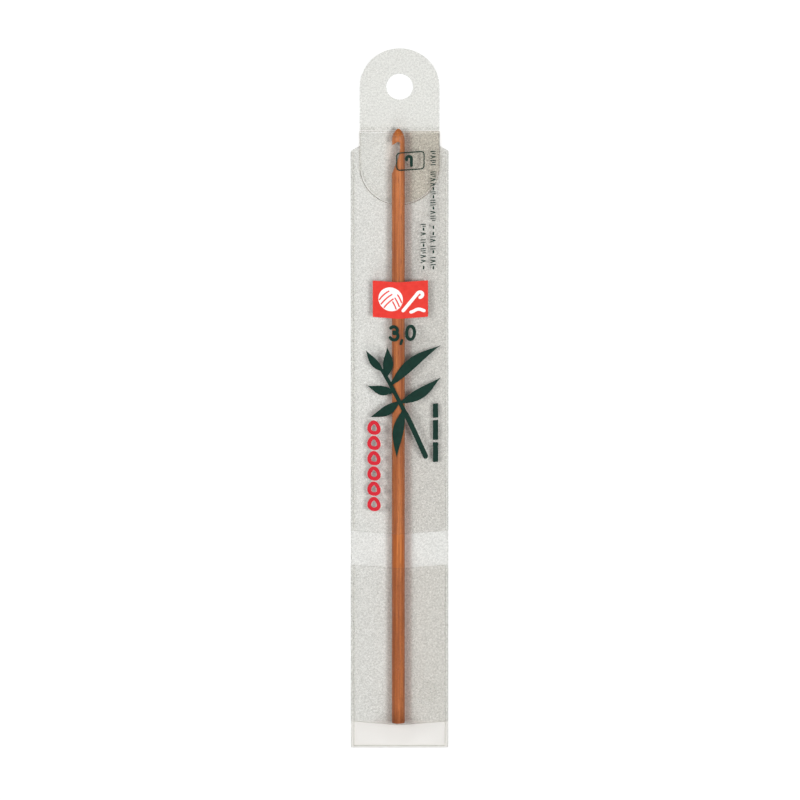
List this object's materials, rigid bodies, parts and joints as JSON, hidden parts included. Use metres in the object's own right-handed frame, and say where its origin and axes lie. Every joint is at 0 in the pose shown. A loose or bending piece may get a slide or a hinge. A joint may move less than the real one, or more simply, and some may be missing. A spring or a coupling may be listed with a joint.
{
  "type": "crochet hook",
  "caption": "Slim bamboo crochet hook with a pointed head and an open throat, lying in a clear flat sleeve with a hang tab.",
  "frame": {"origin": "middle of the sleeve's outline, on the surface that its back sheet lies on", "axes": "+Y along the sleeve towards the hang tab, +Z out of its front, +X to the right as seen from the front"},
  "size_m": [0.024, 0.1764, 0.0043],
  "materials": {
    "bamboo": "carbonised brown bamboo, smooth, low sheen",
    "clear_film_back": "clear soft PVC film with a fine emboss",
    "clear_film_front": "clear soft PVC film with a fine emboss, welded at its edges",
    "clear_film_strip": "clear PVC film, creased across its middle",
    "ink_red": "opaque red screen print on the film",
    "ink_green": "opaque dark green screen print on the film",
    "ink_white": "opaque white screen print on the film"
  },
  "bodies": {
    "sleeve": {"back_sheet": "clear_film_back", "upper_front_sheet": "clear_film_front", "lower_front_sheet": "clear_film_front", "tuck_tongue": "clear_film_strip"},
    "hook": {"crochet_hook": "bamboo"},
    "tab": {"hang_tab": "clear_film_strip"}
  },
  "joints": [
    {"name": "hook_slide", "type": "slide", "parent": "sleeve", "child": "hook", "axis": [0, 1, 0], "range_m": [0, 0.165]},
    {"name": "tab_fold", "type": "hinge", "parent": "sleeve", "child": "tab", "pos_m": [0, 0.06765, 0.00045], "axis": [1, 0, 0], "range_deg": [-80, 0], "stiffness_Nm_per_rad": 0.01}
  ]
}
